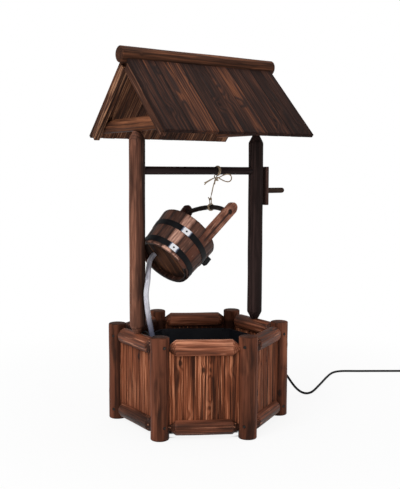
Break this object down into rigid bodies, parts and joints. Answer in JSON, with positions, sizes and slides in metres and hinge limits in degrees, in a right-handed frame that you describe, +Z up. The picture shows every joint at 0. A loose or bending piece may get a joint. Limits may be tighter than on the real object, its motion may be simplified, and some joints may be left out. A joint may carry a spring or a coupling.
{
  "type": "wishing well fountain",
  "caption": "Garden wishing well fountain of burnt log posts and boards with a pitched roof, a crank, a tipped coopered bucket, a basin, a pump and its cord",
  "frame": {"origin": "on the ground under the middle of the hexagonal well, which is also the middle of the roof's bounding box, leaving out the free power cord, its coil and its plug", "axes": "+Z up; the front wall between two corner posts faces -Y; the crossbar and the ridge run 30 degrees from +X towards +Y, with the crank at the +X end"},
  "size_m": [1.3934, 0.9352, 1.1509],
  "materials": {
    "burnt_log": "flame-burnt softwood logs under a satin stain",
    "board": "flame-burnt softwood boards with dark grain",
    "roof_board": "dark flame-burnt boards",
    "black_wood": "charred nearly black wood",
    "bucket_wood": "stained staves, satin",
    "hoop_steel": "black painted steel strip",
    "screw_steel": "zinc plated",
    "basin_plastic": "moulded black basin",
    "black_plastic": "moulded black",
    "black_rubber": "soft black",
    "clear_tube": "translucent vinyl",
    "cord_jacket": "black jacket",
    "jute_twine": "twisted jute"
  },
  "bodies": {
    "base": {"corner_post_1": "burnt_log", "corner_post_2": "burnt_log", "corner_post_3": "burnt_log", "corner_post_4": "burnt_log", "corner_post_5": "burnt_log", "corner_post_6": "burnt_log", "top_rail_1": "burnt_log", "top_rail_2": "burnt_log", "top_rail_3": "burnt_log", "top_rail_4": "burnt_log", "top_rail_5": "burnt_log", "top_rail_6": "burnt_log", "bottom_rail_1": "burnt_log", "bottom_rail_2": "burnt_log", "bottom_rail_3": "burnt_log", "bottom_rail_4": "burnt_log", "bottom_rail_5": "burnt_log", "bottom_rail_6": "burnt_log", "wall_panel_1": "board", "wall_panel_2": "board", "wall_panel_3": "board", "wall_panel_4": "board", "wall_panel_5": "board", "wall_panel_6": "board", "frame_screws": "screw_steel", "basin": "basin_plastic", "well_post_left": "burnt_log", "well_post_right": "burnt_log", "tie_beam_left": "burnt_log", "tie_beam_right": "burnt_log", "gable_battens_left": "roof_board", "gable_battens_right": "roof_board", "roof_boards_front": "roof_board", "roof_boards_back": "roof_board", "ridge_log": "burnt_log", "water_hose": "clear_tube", "pump_body": "black_plastic", "pump_strainer": "black_plastic", "pump_feet": "black_rubber", "pump_lead": "cord_jacket", "cord_grommet": "black_rubber", "power_cord": "cord_jacket", "cord_coil": "cord_jacket", "mains_plug": "black_plastic"},
    "windlass": {"crossbar": "black_wood", "crank_arm": "black_wood", "crank_peg": "burnt_log"},
    "bucket": {"bucket_staves": "bucket_wood", "bucket_bottom": "bucket_wood", "bucket_hoop_lower": "hoop_steel", "bucket_hoop_upper": "hoop_steel", "bucket_ear_near": "bucket_wood", "bucket_ear_far": "bucket_wood", "bucket_bail": "black_wood", "pour_spout": "black_plastic", "bail_twine": "jute_twine"},
    "impeller": {"pump_impeller": "black_plastic"},
    "flow_knob": {"flow_knob": "black_plastic"}
  },
  "joints": [
    {"name": "windlass_turn", "type": "hinge", "parent": "base", "child": "windlass", "pos_m": [0, 0, 0.789], "axis": [0.866, 0.5, 0], "continuous": true},
    {"name": "bucket_swing", "type": "hinge", "parent": "base", "child": "bucket", "pos_m": [0, 0, 0.789], "axis": [0.866, 0.5, 0], "range_deg": [-7, 7], "deforming": ["water_hose"]},
    {"name": "impeller_spin", "type": "hinge", "parent": "base", "child": "impeller", "pos_m": [-0.09699, -0.056, 0.038], "axis": [0.866, 0.5, 0], "continuous": true},
    {"name": "flow_turn", "type": "hinge", "parent": "base", "child": "flow_knob", "pos_m": [-0.07448, -0.043, 0.023], "axis": [0.866, 0.5, 0], "range_deg": [0, 90]}
  ]
}
